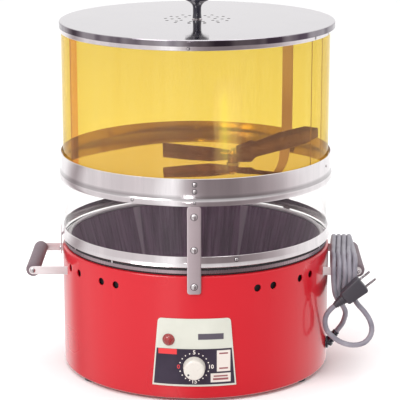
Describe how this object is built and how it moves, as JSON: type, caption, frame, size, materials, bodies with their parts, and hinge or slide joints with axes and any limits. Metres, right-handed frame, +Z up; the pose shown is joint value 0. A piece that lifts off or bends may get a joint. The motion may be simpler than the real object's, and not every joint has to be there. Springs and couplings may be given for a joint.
{
  "type": "popcorn maker",
  "caption": "Round drum popcorn maker: heated enamelled base with pan and timer, clear lower drum, amber upper drum with stirrer, and lift-off lid.",
  "frame": {"origin": "on the floor, in the middle of the object without its cord", "axes": "+Z up along the drums, the control panel faces -Y, the cord is on the +X side"},
  "size_m": [0.4655, 0.3788, 0.5001],
  "materials": {
    "red_enamel": "gloss stove enamel",
    "satin_steel": "satin",
    "polished_steel": "polished",
    "mirror_steel": "mirror polished",
    "coated_pan": "dark non-stick coating",
    "amber_plastic": "transparent amber sheet",
    "clear_plastic": "transparent clear sheet",
    "black_plastic": "gloss",
    "black_rubber": "matt",
    "grip_plastic": "matt",
    "cream_plastic": "satin",
    "lamp_red": "gloss",
    "cord_grey": "satin vinyl",
    "brass": "satin",
    "ceramic": "matt",
    "label": "printed sheet"
  },
  "bodies": {
    "root": {"base_shell": "red_enamel", "bottom_cover": "satin_steel", "foot_1": "black_rubber", "foot_2": "black_rubber", "foot_3": "black_rubber", "foot_4": "black_rubber", "pan_seat_ring": "satin_steel", "pan": "coated_pan", "heating_element": "satin_steel", "heat_reflector": "satin_steel", "thermostat": "brass", "terminal_block": "ceramic", "timer_body": "satin_steel", "lamp_body": "ceramic", "lamp_lens": "lamp_red", "label_plate": "label", "clear_cylinder": "clear_plastic", "lower_band": "polished_steel", "front_strap": "satin_steel", "strap_screw_1": "polished_steel", "strap_screw_2": "polished_steel", "strap_screw_3": "polished_steel", "band_clip_1": "satin_steel", "band_clip_2": "satin_steel", "clip_screw_1": "polished_steel", "clip_screw_2": "polished_steel", "left_front_bar": "polished_steel", "left_back_bar": "polished_steel", "right_front_bar": "polished_steel", "right_back_bar": "polished_steel", "left_grip": "grip_plastic", "right_grip": "grip_plastic", "grip_screw_1": "polished_steel", "grip_screw_2": "polished_steel", "grip_screw_3": "polished_steel", "grip_screw_4": "polished_steel", "cord_gland": "black_plastic", "cord_tail_gland": "cord_grey", "cord_hank": "cord_grey", "cord_tail_plug": "cord_grey", "plug_body": "black_plastic", "plug_prong_1": "polished_steel", "plug_prong_2": "polished_steel"},
    "upper_drum": {"middle_band": "polished_steel", "drum_floor": "mirror_steel", "amber_cylinder": "amber_plastic", "seam_strap": "satin_steel", "top_band": "polished_steel", "stirrer_spindle": "polished_steel"},
    "stirrer": {"stirrer": "satin_steel", "stirrer_nut": "brass"},
    "lid": {"lid": "mirror_steel", "knob_washer": "polished_steel", "lid_knob": "black_plastic", "knob_cap": "satin_steel", "knob_screw": "polished_steel"},
    "timer": {"timer_knob": "cream_plastic", "timer_shaft": "brass"}
  },
  "joints": [
    {"name": "drum_lift", "type": "slide", "parent": "root", "child": "upper_drum", "axis": [0, 0, 1], "range_m": [0, 0.15]},
    {"name": "lid_lift", "type": "slide", "parent": "upper_drum", "child": "lid", "axis": [0, 0, 1], "range_m": [0, 0.12]},
    {"name": "stirrer_spin", "type": "hinge", "parent": "upper_drum", "child": "stirrer", "pos_m": [0.05, -0.02655, 0.29], "axis": [0, 0, 1], "continuous": true},
    {"name": "timer_turn", "type": "hinge", "parent": "root", "child": "timer", "pos_m": [0, -0.17355, 0.048], "axis": [0, 1, 0], "range_deg": [0, 310]}
  ]
}
